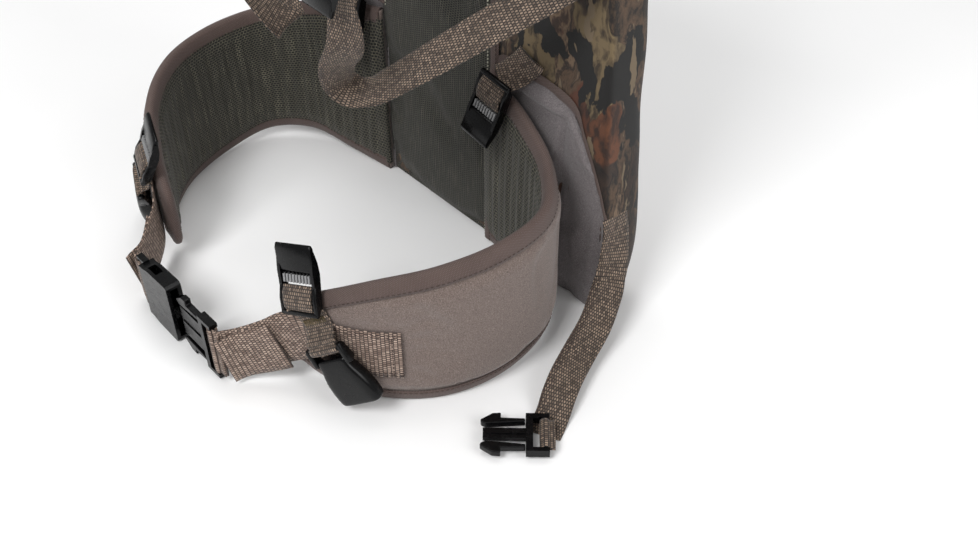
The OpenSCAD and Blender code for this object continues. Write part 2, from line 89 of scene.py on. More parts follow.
SLING_DRAWN = 0.82
WAIST = (49.75, -256, 28)
WING_STEPS = 10

# ---- curves and meshes


def smooth_path(points, steps):
    """Catmull-Rom curve through points of any dimension."""
    p = np.array(points, float)
    q = np.vstack([2 * p[0] - p[1], p, 2 * p[-1] - p[-2]])
    out = []
    for i in range(1, len(p)):
        a, b, c, d = q[i - 1:i + 3]
        for k in range(steps):
            t = k / steps
            out.append((2 * b + (c - a) * t + (2 * a - 5 * b + 4 * c - d) * t * t
                        + (3 * b - a - 3 * c + d) * t ** 3) / 2)
    out.append(p[-1])
    return np.array(out)


def unit(v):
    v = np.array(v, float)
    return v / max(np.linalg.norm(v), 1e-9)


def tangent(line, i):
    """Direction of a line of points at its point i."""
    return unit(line[min(i + 1, len(line) - 1)] - line[max(i - 1, 0)])


def lengths(points):
    """Length along a line of points, at each of them."""
    return np.concatenate([[0], np.cumsum(np.linalg.norm(np.diff(points, axis=0), axis=1))])


def smoothstep(t):
    t = np.clip(t, 0, 1)
    return t * t * (3 - 2 * t)


def spot(points, side=1):
    """Design millimetres to row-frame metres, mirrored for the wearer's right."""
    p = np.array(points, float).reshape(-1, 3) * MM
    p[:, 1] += FACE_Y * MM
    p[:, 0] *= side
    return p


def bend(body, start, end, side):
    """A blend from the vest to another body, between two design points."""
    a, b = (tuple(spot([p], side)[0]) for p in (start, end))
    return ("vest", body, a, b)


def make(name, verts, faces, uv=None, smooth=True):
    """A mesh object; uv holds one coordinate pair in millimetres for each vertex."""
    me = bpy.data.meshes.new(name)
    me.from_pydata([tuple(v) for v in verts], [], faces)
    if uv is not None:
        layer = me.uv_layers.new(name="weave")
        index = np.empty(len(me.loops), int)
        me.loops.foreach_get("vertex_index", index)
        layer.data.foreach_set("uv", np.array(uv, np.float32)[index].ravel())
    me.polygons.foreach_set("use_smooth", [smooth] * len(me.polygons))
    ob = bpy.data.objects.new(name, me)
    scene.collection.objects.link(ob)
    return ob


def grid(name, rows, side=1, wrap=False, caps=False, turned=False, across=None):
    """A sheet or a tube through rows of points.

    wrap closes each row, caps close a tube's ends, turned faces it the other way, and across gives
    the weave's coordinate along a row where the points' own spacing doesn't.
    """
    rows = np.array(rows, float)
    m, n = rows.shape[:2]
    flip = (side < 0) != turned
    faces = []
    for i in range(m - 1):
        for j in range(n if wrap else n - 1):
            k = (j + 1) % n
            f = (i * n + j, i * n + k, (i + 1) * n + k, (i + 1) * n + j)
            faces.append(f[::-1] if flip else f)
    if caps:
        first = tuple(range(n))[::-1]
        last = tuple((m - 1) * n + j for j in range(n))
        faces += [first[::-1], last[::-1]] if flip else [first, last]
    if across is None:
        across = lengths(rows[m // 2])
    uv = [(u, v) for u in lengths(rows.mean(1)) for v in across]
    return make(name, spot(rows.reshape(-1, 3), side), faces, uv)


def modify(ob, kind, **settings):
    """Adds a modifier and applies it at once."""
    mod = ob.modifiers.new(kind.lower(), kind)
    for key, value in settings.items():
        setattr(mod, key, value)
    bpy.context.view_layer.objects.active = ob
    bpy.ops.object.modifier_apply(modifier=mod.name)
    return ob


def join(name, obs):
    """Joins objects into one, named name."""
    bpy.ops.object.select_all(action="DESELECT")
    for ob in obs:
        ob.select_set(True)
    bpy.context.view_layer.objects.active = obs[0]
    bpy.ops.object.join()
    obs[0].name = name
    obs[0].data.name = name
    return obs[0]


def relax(ob, pinned, pressure, slack, cap):
    """Lets a sheet settle as cloth between its pinned points; cap limits how far a point moves, in mm."""
    rest = np.array([v.co for v in ob.data.vertices])
    group = ob.vertex_groups.new(name="pins")
    group.add([int(i) for i in pinned], 1.0, "REPLACE")
    mod = ob.modifiers.new("cloth", "CLOTH")
    s = mod.settings
    s.quality = 5
    s.mass = 0.15
    s.tension_stiffness = 25
    s.compression_stiffness = 12
    s.shear_stiffness = 6
    s.bending_stiffness = 0.25
    s.vertex_group_mass = "pins"
    s.shrink_min = -slack
    s.use_pressure = pressure > 0
    s.uniform_pressure_force = pressure
    s.effector_weights.gravity = 0
    for f in range(1, CLOTH_FRAMES + 1):
        scene.frame_set(f)
    bpy.context.view_layer.objects.active = ob
    bpy.ops.object.modifier_apply(modifier=mod.name)
    scene.frame_set(1)
    ob.vertex_groups.clear()
    moved = np.array([v.co for v in ob.data.vertices])
    step = moved - rest
    length = np.linalg.norm(step, axis=1, keepdims=True)
    step *= np.minimum(1, cap * MM / np.maximum(length, 1e-9))
    ob.data.vertices.foreach_set("co", (rest + step).ravel())
    ob.data.update()
    return ob


def finish_piece(ob, material, slot=None, body="vest", replaces=(), blend=None):
    """Gives a piece its material, body and the CAD nodes that it stands for.

    The slot argument is not used.
    """
    ob.data.materials.clear()
    ob.data.materials.append(material)
    if blend:
        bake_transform(ob)
    else:
        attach(ob, body)
    if replaces:
        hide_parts(*replaces)
    return ob


# ---- materials


def rgb(code):
    """Linear colour of a hex code."""
    parts = [int(code[i:i + 2], 16) / 255 for i in (1, 3, 5)]
    return [c / 12.92 if c <= 0.04045 else ((c + 0.055) / 1.055) ** 2.4 for c in parts] + [1.0]


class Finish:
    """Builds one procedural material round a Principled shader."""

    def __init__(self, name, roughness, **sockets):
        self.mat = bpy.data.materials.new(name)
        self.mat.use_nodes = True
        self.tree = self.mat.node_tree
        self.shader = self.tree.nodes["Principled BSDF"]
        self.shader.inputs["Roughness"].default_value = roughness
        for key, value in sockets.items():
            self.shader.inputs[key.replace("_", " ")].default_value = value
        self.place = self.tree.nodes.new("ShaderNodeTexCoord").outputs["Object"]

    def node(self, kind, links=(), **values):
        n = self.tree.nodes.new("ShaderNode" + kind)
        for key, value in values.items():
            if key in n.inputs.keys():
                n.inputs[key].default_value = value
            elif key.replace("_", " ") in n.inputs.keys():
                n.inputs[key.replace("_", " ")].default_value = value
            else:
                setattr(n, key, value)
        for socket, source in dict(links).items():
            self.tree.links.new(source, n.inputs[socket])
        return n

    def uv(self):
        return self.node("UVMap", uv_map="weave").outputs["UV"]

    def stretch(self, vector, scale, rotation=(0, 0, 0)):
        return self.node("Mapping", {"Vector": vector}, Scale=scale, Rotation=rotation).outputs["Vector"]

    def noise(self, vector, scale, detail=2.0, distortion=0.0, rough=0.5):
        sizes = {"Scale": scale, "Detail": detail, "Distortion": distortion, "Roughness": rough}
        return self.node("TexNoise", {"Vector": vector}, **sizes).outputs["Fac"]

    def brick(self, vector, wide, high, gap, *colours):
        """Staggered cells of two colours with a third between them."""
        n = self.node(
            "TexBrick", {"Vector": vector}, offset=0.5, Scale=1.0, Mortar_Size=gap, Mortar_Smooth=0.6,
            Brick_Width=wide, Row_Height=high,
        )
        for socket, colour in zip(("Color1", "Color2", "Mortar"), colours):
            n.inputs[socket].default_value = rgb(colour)
        return n.outputs

    def ramp(self, fac, stops, interpolation="LINEAR"):
        n = self.node("ValToRGB", {"Fac": fac})
        n.color_ramp.interpolation = interpolation
        while len(n.color_ramp.elements) < len(stops):
            n.color_ramp.elements.new(0.5)
        for e, (at, colour) in zip(n.color_ramp.elements, stops):
            e.position = at
            e.color = rgb(colour) if isinstance(colour, str) else (colour, colour, colour, 1)
        return n.outputs["Color"]

    def mix(self, fac, a, b, blend="MIX"):
        n = self.node("Mix", data_type="RGBA", blend_type=blend)
        for socket, value in (("Factor", fac), ("A", a), ("B", b)):
            wanted = "VALUE" if socket == "Factor" else "RGBA"
            target = next(i for i in n.inputs if i.name == socket and i.type == wanted)
            if isinstance(value, bpy.types.NodeSocket):
                self.tree.links.new(value, target)
            else:
                target.default_value = rgb(value) if isinstance(value, str) else value
        return next(o for o in n.outputs if o.type == "RGBA")

    def math(self, operation, a, b=0.0):
        n = self.node("Math", operation=operation)
        for i, value in enumerate((a, b)):
            if isinstance(value, bpy.types.NodeSocket):
                self.tree.links.new(value, n.inputs[i])
            else:
                n.inputs[i].default_value = value
        return n.outputs[0]

    def colour(self, source):
        self.tree.links.new(source, self.shader.inputs["Base Color"])
        return self

    def rough(self, source):
        self.tree.links.new(source, self.shader.inputs["Roughness"])
        return self

    def bump(self, height, distance, strength=1.0, before=None):
        links = {"Height": height}
        if before is not None:
            links["Normal"] = before
        n = self.node("Bump", links, Distance=distance, Strength=strength)
        self.tree.links.new(n.outputs["Normal"], self.shader.inputs["Normal"])
        return n.outputs["Normal"]


def brushed_fabric(name, dark, mid, light):
    """Smooth brushed nylon: fine grain, faint mottling and a soft nap."""
    f = Finish(name, 0.88, Sheen_Weight=0.25, Sheen_Roughness=0.5)
    grain = f.noise(f.place, 1500, 3.0, rough=0.7)
    mottle = f.noise(f.place, 45, 3.0)
    base = f.ramp(grain, [(0.3, dark), (0.5, mid), (0.7, light)])
    f.colour(f.mix(f.math("MULTIPLY", mottle, 0.35), base, mid))
    first = f.bump(grain, 0.0003, 0.5)
    f.bump(f.noise(f.place, 160, 2.0), 0.0007, 0.25, before=first)
    return f.mat


def webbing_weave(name, dark, mid, light, across=1.8, along=2.5):
    """Woven webbing: staggered raised picks over darker gaps, in the strap's own coordinates."""
    f = Finish(name, 0.72, Sheen_Weight=0.12)
    split = f.node("SeparateXYZ", {"Vector": f.uv()})
    turned = f.node("CombineXYZ", {"X": split.outputs["Y"], "Y": split.outputs["X"]}).outputs["Vector"]
    picks = f.brick(turned, across, along, 0.5, light, mid, dark)
    wear = f.noise(f.place, 70, 3.0)
    f.colour(f.mix(f.math("MULTIPLY", wear, 0.4), picks["Color"], mid))
    pick = f.math("SUBTRACT", 1.0, picks["Fac"])
    fuzz = f.noise(f.place, 2200, 2.0)
    first = f.bump(pick, 0.0006, 0.9)
    f.bump(fuzz, 0.0002, 0.3, before=first)
    return f.mat


def spacer_mesh(name, dark, mid, light, pitch_u, pitch_v, streak):
    """Knitted spacer mesh: rows of small holes with pale threads, streaked along the knit."""
    f = Finish(name, 0.8, Sheen_Weight=0.1)
    cells = f.brick(f.uv(), pitch_u, pitch_v, 0.42, dark, dark, mid)
    runs = f.noise(f.stretch(f.uv(), streak), 1.0, 3.0, rough=0.6)
    pale = f.ramp(runs, [(0.5, 0.0), (0.72, 1.0)])
    threads = f.math("MULTIPLY", f.math("ADD", f.math("MULTIPLY", pale, 0.75), 0.25), cells["Fac"])
    f.colour(f.mix(threads, cells["Color"], light))
    first = f.bump(cells["Fac"], 0.0007, 0.8)
    f.bump(runs, 0.0008, 0.5, before=first)
    return f.mat


def camouflage(name):
    """Generic woodland print: bark streaks, leaf blotches and dark gaps, all from noise."""
    f = Finish(name, 0.86, Sheen_Weight=0.12)
    warp = f.node("TexNoise", {"Vector": f.place}, Scale=22.0, Detail=4.0).outputs["Color"]
    bent = f.mix(0.03, f.place, warp, "ADD")
    bark = f.noise(f.stretch(bent, (30, 30, 9), (0.35, 0.6, 0)), 1.0, 7.0, 0.3, 0.62)
    ground = f.ramp(bark, [
        (0.33, "#0b0807"), (0.4, "#33241b"), (0.44, "#120d0a"), (0.5, "#54402f"),
        (0.53, "#1d1410"), (0.58, "#715c48"), (0.62, "#38271d"), (0.7, "#130e0b"),
    ])
    leaf = f.node("TexVoronoi", {"Vector": f.stretch(bent, (24, 24, 12), (0.7, 0.3, 0.9))}, Scale=1.0)
    tone = f.ramp(f.node("SeparateColor", {"Color": leaf.outputs["Color"]}).outputs[0], [
        (0.0, "#432216"), (0.25, "#5e3721"), (0.42, "#6a5a40"),
        (0.55, "#321a14"), (0.7, "#4f2b1a"), (0.85, "#483b34"),
    ], "CONSTANT")
    edge = f.ramp(leaf.outputs["Distance"], [(0.44, 1.0), (0.46, 0.0)])
    pick = f.ramp(f.noise(f.place, 12, 3.0), [(0.42, 0.0), (0.43, 1.0)])
    veins = f.noise(f.stretch(bent, (150, 150, 40), (0.7, 0.3, 0.9)), 1.0, 5.0)
    leafy = f.mix(f.ramp(veins, [(0.38, 0.85), (0.52, 0.0)]), tone, "#1d100a")
    shown = f.mix(f.math("MULTIPLY", edge, pick), ground, leafy)
    gaps = f.ramp(f.noise(f.stretch(bent, (34, 34, 16)), 1.0, 5.0), [(0.58, 0.0), (0.59, 1.0)])
    twig = f.noise(f.stretch(bent, (90, 90, 14), (0.5, 0.2, 0.4)), 1.0, 3.0)
    twigs = f.ramp(twig, [(0.64, 0.0), (0.66, 1.0)])
    f.colour(f.mix(twigs, f.mix(gaps, shown, "#0a0807"), "#6c5d49"))
    twill = f.noise(f.place, 1800, 2.0)
    f.bump(twill, 0.0003, 0.5)
    return f.mat


def moulded(name, colour, roughness, scratch=0.5):
    """Moulded plastic: faint flow texture, rubbed and slightly duller in patches."""
    f = Finish(name, roughness, Specular_IOR_Level=0.24)
    rubbed = f.noise(f.place, 130, 4.0)
    f.colour(f.mix(f.math("MULTIPLY", rubbed, 0.12), colour, "#121315"))
    f.rough(f.ramp(rubbed, [(0.35, roughness), (0.75, roughness + 0.22 * scratch)]))
    f.bump(f.noise(f.place, 900, 2.0), 0.00008, 0.4)
    return f.mat


def plated_steel(name):
    """Forged and plated steel with fine brushed scratches."""
    f = Finish(name, 0.3, Metallic=1.0)
    lines = f.noise(f.stretch(f.place, (60, 900, 900)), 1.0, 3.0)
    f.colour(f.ramp(lines, [(0.3, "#8d9093"), (0.7, "#c2c5c8")]))
    f.rough(f.ramp(lines, [(0.3, 0.22), (0.7, 0.42)]))
    f.bump(lines, 0.00006, 0.5)
    return f.mat


def thread(name, colour, light):
    """Twisted sewing thread."""
    f = Finish(name, 0.6)
    twist = f.noise(f.place, 2600, 1.0)
    f.colour(f.ramp(twist, [(0.4, colour), (0.65, light)]))
    f.bump(twist, 0.0001, 0.6)
    return f.mat


FABRIC = brushed_fabric("belt_fabric", "#40352f", "#695b55", "#978880")
FACE = brushed_fabric("face_fabric", "#463f40", "#6b6566", "#918a8a")
TAPE = webbing_weave("binding_tape", "#4a3a35", "#6c5952", "#83706a", 1.2, 1.0)
STRAP = webbing_weave("webbing", "#150f0b", "#4c3d32", "#ab9480")
HARNESS = webbing_weave("harness_webbing", "#261b16", "#786256", "#cbb3a2", 2.1, 2.9)
BACK_MESH = spacer_mesh("back_mesh", "#10100d", "#2d2c26", "#6c695b", 1.9, 2.4, (0.04, 0.7, 1))
LINING = spacer_mesh("lining_mesh", "#10100c", "#35322a", "#8a8570", 3.0, 2.2, (0.5, 0.03, 1))
CAMO = camouflage("camo_fabric")
PLASTIC = moulded("buckle_plastic", "#020203", 0.22)
# Painted highlight: the grip ribs are the buckle's own black plastic, coloured pale grey to stand in for
# light glinting off them.
RIB_PAINTED_HIGHLIGHT = moulded("grip_ribs_painted_highlight", "#8f8f90", 0.3)
PATCH = moulded("patch_plastic", "#151515", 0.42)
STEEL = plated_steel("steel")
DARK_THREAD = thread("dark_thread", "#2e211d", "#4b3a33")
OLIVE_THREAD = thread("olive_thread", "#4b4026", "#6b5c38")
PALE_THREAD = thread("pale_thread", "#9b9887", "#c5c2b2")

# ---- camera, floor and light

VIEW_AZIMUTH = math.radians(47.9)
VIEW_ELEVATION = math.radians(42.06)
VIEW_PLACE = (0.6107, -0.4966 + FACE_Y * MM, 0.6214)
VIEW_LENS = 41.97
SKY = 0.38
FLOOR_HALF = 6.0


def stand_camera():
    """The viewing angle: from the wearer's left front, looking down into the waist."""
    data = bpy.data.cameras.new("camera")
    data.lens = VIEW_LENS
    data.sensor_width = 36
    ob = bpy.data.objects.new("camera", data)
    ob.location = VIEW_PLACE
    flat = math.cos(VIEW_ELEVATION)
    back = Vector((math.sin(VIEW_AZIMUTH) * flat, -math.cos(VIEW_AZIMUTH) * flat, math.sin(VIEW_ELEVATION)))
    ob.rotation_euler = (-back).to_track_quat("-Z", "Y").to_euler()
    scene.collection.objects.link(ob)
    scene.camera = ob


def lamp(name, place, size, power, target=(0, -0.1, 0.15)):
    data = bpy.data.lights.new(name, "AREA")
    data.size = size
    data.energy = power
    ob = bpy.data.objects.new(name, data)
    ob.location = place
    ob.rotation_euler = (Vector(target) - Vector(place)).to_track_quat("-Z", "Y").to_euler()
    scene.collection.objects.link(ob)


def set_studio():
    """A pale floor, a soft sky and three soft lamps."""
    corners = [(x * FLOOR_HALF, y * FLOOR_HALF, 0) for x, y in ((-1, -1), (1, -1), (1, 1), (-1, 1))]
    floor = make("floor", corners, [(0, 1, 2, 3)], smooth=False)
    pale = Finish("floor", 0.9)
    pale.colour(pale.ramp(pale.noise(pale.place, 3.0), [(0.3, "#f4f4f4"), (0.7, "#f8f8f8")]))
    floor.data.materials.append(pale.mat)
    world = bpy.data.worlds.new("studio")
    world.use_nodes = True
    world.node_tree.nodes["Background"].inputs["Color"].default_value = (1, 1, 1, 1)
    world.node_tree.nodes["Background"].inputs["Strength"].default_value = SKY
    scene.world = world
    lamp("key", (0.4, -1.6, 1.9), 0.9, 34)
    lamp("fill", (1.8, 0.2, 1.2), 1.1, 15)
    lamp("top", (-0.6, 0.3, 2.2), 1.3, 17)
    scene.view_settings.view_transform = "Standard"


# ---- webbing and stitches


def strap_frames(route, steps):
    """Centre, width direction and face direction at each step of a route of places and width directions."""
    path = smooth_path(route, steps)
    line = path[:, :3]
    frames = []
    for i, raw in enumerate(path[:, 3:6]):
        t = tangent(line, i)
        w = unit(raw - (raw @ t) * t)
        frames.append((line[i], w, np.cross(t, w)))
    return frames


def strap(name, route, width, side=1, steps=8):
    """A closed piece of flat webbing, a little thinner at its edges."""
    shares = np.linspace(-1, 1, 9)
    half = WEB_T / 2 * (1 - 0.45 * np.abs(shares) ** 8)
    rings = []
    for c, w, up in strap_frames(route, steps):
        top = [c + w * a * width / 2 + up * h for a, h in zip(shares, half)]
        low = [c + w * a * width / 2 - up * h for a, h in zip(shares[::-1], half[::-1])]
        rings.append(top + low)
    across = np.concatenate([np.linspace(0, width, 9), np.linspace(width, 0, 9)])
    return grid(name, rings, side, wrap=True, caps=True, across=across)


def stitches(name, points, normals, side=1, length=3.0, gap=1.3, radius=0.34, lift=0.1):
    """A row of raised stitches along a line of points on a surface."""
    points = np.array(points, float)
    normals = np.array(normals, float)
    run = lengths(points)

    def at(s, values):
        return np.array([np.interp(s, run, values[:, k]) for k in range(3)])

    verts, faces = [], []
    n_sides = 6
    s = 0.0
    while s + length <= run[-1]:
        n = unit(at(s + length / 2, normals))
        rings = []
        for q, fat in ((0.0, 0.35), (0.22, 1.0), (0.78, 1.0), (1.0, 0.35)):
            c = at(s + q * length, points) + n * (lift if 0.1 < q < 0.9 else lift - radius * 0.7)
            t = unit(at(min(s + length, run[-1]), points) - at(s, points))
            b = np.cross(n, t)
            rings.append([
                c + (b * math.cos(a) + n * math.sin(a)) * radius * fat
                for a in (2 * math.pi * k / n_sides for k in range(n_sides))
            ])
        base = len(verts)
        for r in rings:
            verts += r
        new = []
        for low in range(base, base + 3 * n_sides, n_sides):
            for j in range(n_sides):
                k = (j + 1) % n_sides
                new.append((low + j, low + k, low + n_sides + k, low + n_sides + j))
        first = tuple(range(base, base + n_sides))
        new += [first[::-1], tuple(q + 3 * n_sides for q in first)]
        faces += new if side > 0 else [f[::-1] for f in new]
        s += length + gap
    return make(name, spot(verts, side), faces)


def sew(name, points, normals, side, sizes, slot, material=DARK_THREAD, **on):
    """A row of stitches as a finished piece of its own."""
    finish_piece(stitches(name, points, normals, side, *sizes), material, slot, **on)


# ---- fittings' own frame


def fit(p, d, n):
    """Turns points of a fitting's frame (bar along Y at the origin, length +X, face +Z) to design ones."""
    x = unit(d)
    y = unit(np.cross(n, x))
    z = np.cross(x, y)
    base = np.array(p, float)
    turn = np.array([x, y, z])
    return lambda q: base + np.array(q, float) @ turn


wing_line = smooth_path(WING, 5)


def wing_normal(i):
    t = tangent(wing_line[:, :2], i)
    return np.array([-t[1], t[0], 0.0])


def outer_point(i, off, z):
    c = wing_line[i, :2] + wing_normal(i)[:2] * (wing_line[i, 4] / 2 + off)
    return np.array([c[0], c[1], z])


WING_LOCK = (outer_point(42, 4, 86), (-0.35, 0.25, 0.9), wing_normal(42))
SIDE_LOCK = ((87, -17, 165), (-0.12, -0.32, -0.94), (0, -0.94, 0.34))
PAD_LOCK = ((70, -142.4, 313), (0, -0.12, -1), (0, -1, 0.12))
CLIP_FEMALE = (outer_point(39, 12, 57), (0.47, 0.26, -0.85), wing_normal(38))
CLIP_MALE = ((255, -122.5, 7), (-0.685, -0.728, 0), (0, 0, 1))
BAR = 3.2
LOCK_END = -8.4


def bar_route(where, path):
    """A webbing route through (x, z) points of a fitting's frame, lying as wide as its bar does."""
    place = fit(*where)
    across = place((0, 1, 0)) - place((0, 0, 0))
    return [tuple(place((x, 0, z))) + tuple(across) for x, z in path]


def loop_strap(where, width, tail, side):
    """Webbing that turns round a fitting's bar and is sewn to itself behind it."""
    angles = np.linspace(math.radians(-164), math.radians(164), 15)
    path = [(-tail, -0.85)] + [(BAR * math.cos(a), BAR * math.sin(a)) for a in angles] + [(-tail, 0.85)]
    return strap("loop", bar_route(where, path), width, side, steps=3)


def strap_edge(route, width, share, face=1):
    """A line on one face of a strap, at a share of its half width, with its normals."""
    frames = strap_frames(route, 8)
    points = [c + w * width / 2 * share + up * face * WEB_T / 2 for c, w, up in frames]
    return points, [up * face for c, w, up in frames]


def edge_seams(route, width, shares, out, side, *sizes):
    """Rows of stitches along a strap, on the face that looks the way out points."""
    seams = []
    for share in shares:
        points, normals = strap_edge(route, width, share)
        if np.dot(normals[0], out) < 0:
            points, normals = strap_edge(route, width, share, -1)
        seams.append(stitches("s", points, normals, side, *sizes))
    return seams


# ---- free straps


def metres(route, side):
    return [tuple(v) for v in spot([p[:3] for p in smooth_path(route, 3)], side)]


def make_hip_strap(name, side):
    """The adjusting strap that hangs from the hem behind the hip and ends in the side clip."""
    route = HIP_ANCHOR + HIP_ROUTE
    ob = strap("hip_webbing_" + name, route, WEB, side)
    riser = strap("riser", bar_route(CLIP_MALE, [(-5.6, -4.6), (-6.6, -2.2), (-5.6, -0.6)]), WEB - 8, side)
    ends = join("hip_loop_" + name, [loop_strap(CLIP_MALE, WEB, 7, side), riser])
    finish_piece(ends, STRAP, body="hip_strap_" + name)
    finish_piece(
        ob, STRAP, replaces=["hip_strap_" + name, "hip_anchors"],
        blend=bend("hip_strap_" + name, (197, 3, 52), (201, -6, 38), side),
    )
    path = metres(route, side)
    for share, label in ((-0.9, "edge"), (-0.66, "inner")):
        points, normals = strap_edge(HIP_ROUTE[:8], WEB, share)
        title = "hip_stitch_%s_%s" % (name, label)
        sew(title, points, normals, side, (3.2, 0.8, 0.5), "webbing", body="hip_strap_" + name)


def make_sling(name, side):
    """Load webbing that drops from the pad's ladder lock and climbs again to the shoulder yoke."""
    share = SLING_DRAWN if side < 0 else 1
    route = [(p[0], p[1], SLING_TOP - (SLING_TOP - p[2]) * share) + tuple(p[3:]) for p in SLING_ROUTE]
    ob = strap("sling_webbing_" + name, route, WEB, side)
    finish_piece(ob, STRAP, replaces=["sling_web_" + name])
    path = metres(route, side)


# ---- moulded fittings


BEVEL_OVER = math.radians(28)


def refine(node, edge, segments=3, body=None, material=PLASTIC):
    """A copy of a CAD piece with its flat faces cleaned and every edge rounded, which stands for the node."""
    source = bpy.data.objects[node]
    ob = bpy.data.objects.new(node + "_moulded", source.data.copy())
    scene.collection.objects.link(ob)
    modify(ob, "WELD", merge_threshold=0.00001)
    modify(ob, "DECIMATE", decimate_type="DISSOLVE", angle_limit=math.radians(4))
    modify(ob, "BEVEL", width=edge * MM, segments=segments, limit_method="ANGLE", angle_limit=BEVEL_OVER)
    ob.data.polygons.foreach_set("use_smooth", [True] * len(ob.data.polygons))
    modify(ob, "WEIGHTED_NORMAL", keep_sharp=False, weight=80)
    return finish_piece(ob, material, body=body or node, replaces=[node])


def solid(name, outline, low, high, place, side, plane="xy", edge=0.4):
    """An outline extruded in a fitting's frame, with rounded edges; plane says which way the outline lies."""
    def at(a, b, c):
        return (a, b, c) if plane == "xy" else (a, c, b)
    n = len(outline)
    verts = [place(at(a, b, c)) for c in (low, high) for a, b in outline]
    faces = [tuple(range(n))[::-1], tuple(range(n, 2 * n))]
    faces += [(i, (i + 1) % n, (i + 1) % n + n, i + n) for i in range(n)]
    ob = make(name, spot(verts, side), faces)
    bpy.context.view_layer.objects.active = ob
    bpy.ops.object.select_all(action="DESELECT")
    ob.select_set(True)
    bpy.ops.object.mode_set(mode="EDIT")
    bpy.ops.mesh.select_all(action="SELECT")
    bpy.ops.mesh.normals_make_consistent(inside=False)
    bpy.ops.object.mode_set(mode="OBJECT")
    angle = math.radians(30)
    return modify(ob, "BEVEL", width=edge * MM, segments=2, limit_method="ANGLE", angle_limit=angle)


def make_ladder_lock(name, where, side):
    """A ladder lock with its grip ribs, coloured pale grey as a painted highlight on the black plastic, and
    the band of webbing that is threaded through it.
    """
    refine(name, 0.7)
    place = fit(*where)
    ribs = []
    count = 9
    for k in range(count):
        y = -10.8 + k * 21.6 / (count - 1)
        outline = [(15.5, y - 0.75), (21.5, y - 0.75), (21.5, y + 0.75), (15.5, y + 0.75)]
        ribs.append(solid("rib", outline, 1.2, 4.0, place, side, edge=0.35))
    # The ribs take the pale grey painted-highlight material, not the black plastic that they are really made
    # of.
    finish_piece(join(name + "_grip_ribs_painted_highlight", ribs), RIB_PAINTED_HIGHLIGHT, body=name, slot="buckle_plastic")
    end = LOCK_END
    bar = [(end, 1.4), (end + 0.8, 0.6), (-4.4, 1.2), (-4.0, 3.2), (-4.8, 4.8), (-7.4, 4.6), (end, 3.2)]
    rim = [solid("bar", bar, -15.5, 15.5, place, side, plane="xz", edge=0.7)]
    for s in (-1, 1):
        cheek = [(end + 0.6, 1.0), (-3, -1.2), (14, -2.8), (14, 3.6), (4, 5.2), (-6, 4.4)]
        low, high = sorted((s * 12.9, s * 15.7))
        rim.append(solid("cheek", cheek, low, high, place, side, plane="xz", edge=0.7))
    cap = [(21, 0), (24, 3.9), (33, 4.9), (40, 5.6), (43, 4.6), (43.4, 3.2), (41, 1.6), (30, -1.2)]
    cap.append((22, -2.4))
    rim.append(solid("tab", cap, -15.2, 15.2, place, side, plane="xz", edge=1.2))
    finish_piece(join(name + "_rim", rim), PLASTIC, body=name)
    band = bar_route(where, [(-5, 2.6), (-1, 4.6), (4, 5.2), (9, 4.6), (13.5, 2.6)])
    ob = strap(name + "_band", band, WEB - 0.4, side, steps=4)
    finish_piece(ob, STRAP, body=name)


def make_side_clip(name, side):
    """Female half of the side clip: a waisted, crowned housing with an open mouth, two arms and a bar."""
    place = fit(*CLIP_FEMALE)
    profile = [
        (7.2, 9.5, 2.0), (7.6, 12.5, 3.6), (9, 13.6, 4.8), (13, 13.4, 5.6), (18, 14.6, 6.1), (25, 17.2, 6.5),
        (33, 18.3, 6.7), (42, 18.6, 6.6), (46.5, 18.4, 6.3), (48, 17.8, 5.9), (48.4, 16.8, 5.3),
        (48.0, 15.2, 4.2), (44, 14.8, 3.8), (20, 12.5, 3.4),
    ]
    rings = []
    for x, wide, thick in profile:
        ring = []
        for k in range(40):
            a = 2 * math.pi * k / 40
            c, d = math.cos(a), math.sin(a)
            y = math.copysign(abs(c) ** 0.3, c) * wide
            z = math.copysign(abs(d) ** 0.7, d) * thick
            ring.append(place((x, y, z)))
        rings.append(ring)
    parts = [grid("housing", rings, side, wrap=True, caps=True)]
    modify(parts[0], "SUBSURF", levels=1)
    for s in (-1, 1):
        low, high = sorted((s * 12.8, s * 16.6))
        arm = [(-3.4, -1.8), (-1, -3.2), (12, -4.4), (14, 0), (12, 4.4), (-1, 3.2), (-3.4, 1.8)]
        parts.append(solid("arm", arm, low, high, place, side, plane="xz", edge=0.9))
    bar = [(2 * math.cos(a), 2 * math.sin(a)) for a in np.linspace(0, 2 * math.pi, 17)[:-1]]
    parts.append(solid("bar", bar, -13.5, 13.5, place, side, plane="xz", edge=0.1))
    ob = join("side_clip_housing_" + name, parts)
    node = "clip_female_" + name
    finish_piece(ob, PLASTIC, body=node, replaces=[node])


def make_fittings():
    for name, side in SIDES.items():
        make_ladder_lock("wing_lock_" + name, WING_LOCK, side)
        make_ladder_lock("side_lock_" + name, SIDE_LOCK, side)
        make_ladder_lock("pad_lock_" + name, PAD_LOCK, side)
        make_side_clip(name, side)
    refine("waist_male", 0.9)
    refine("waist_female", 1.3, 4)
    refine("waist_prong_upper", 0.8)
    refine("waist_prong_lower", 0.8)
    refine("chest_clip", 1.8, 4, "vest")
    refine("dorsal_patch", 0.8, 3, "vest", PATCH)
    refine("dorsal_ring", 0.2, 3, "dorsal_ring", STEEL)


# ---- padded body

BODY_T = 44
SHOULDER_Z = 462
MESH_HALF = 68
HALF_OUTLINE = [
    (180, 0), (188, 22), (190, 86), (185, 130), (182, 214), (176, 300), (166, 372), (144, 424),
    (134, 456), (122, 462), (70, 462), (60, 454), (38, 442), (12, 437),
]
FACE_TOP = [(66, 172), (84, 178), (146, 173), (163, 148), (180, 113), (188, 92)]


def body_half():
    hem = [(x, 0) for x in np.linspace(0, 168, 12)]
    side = smooth_path(HALF_OUTLINE, 4)
    return np.array(hem + [tuple(v) for v in side] + [(0, 436)])


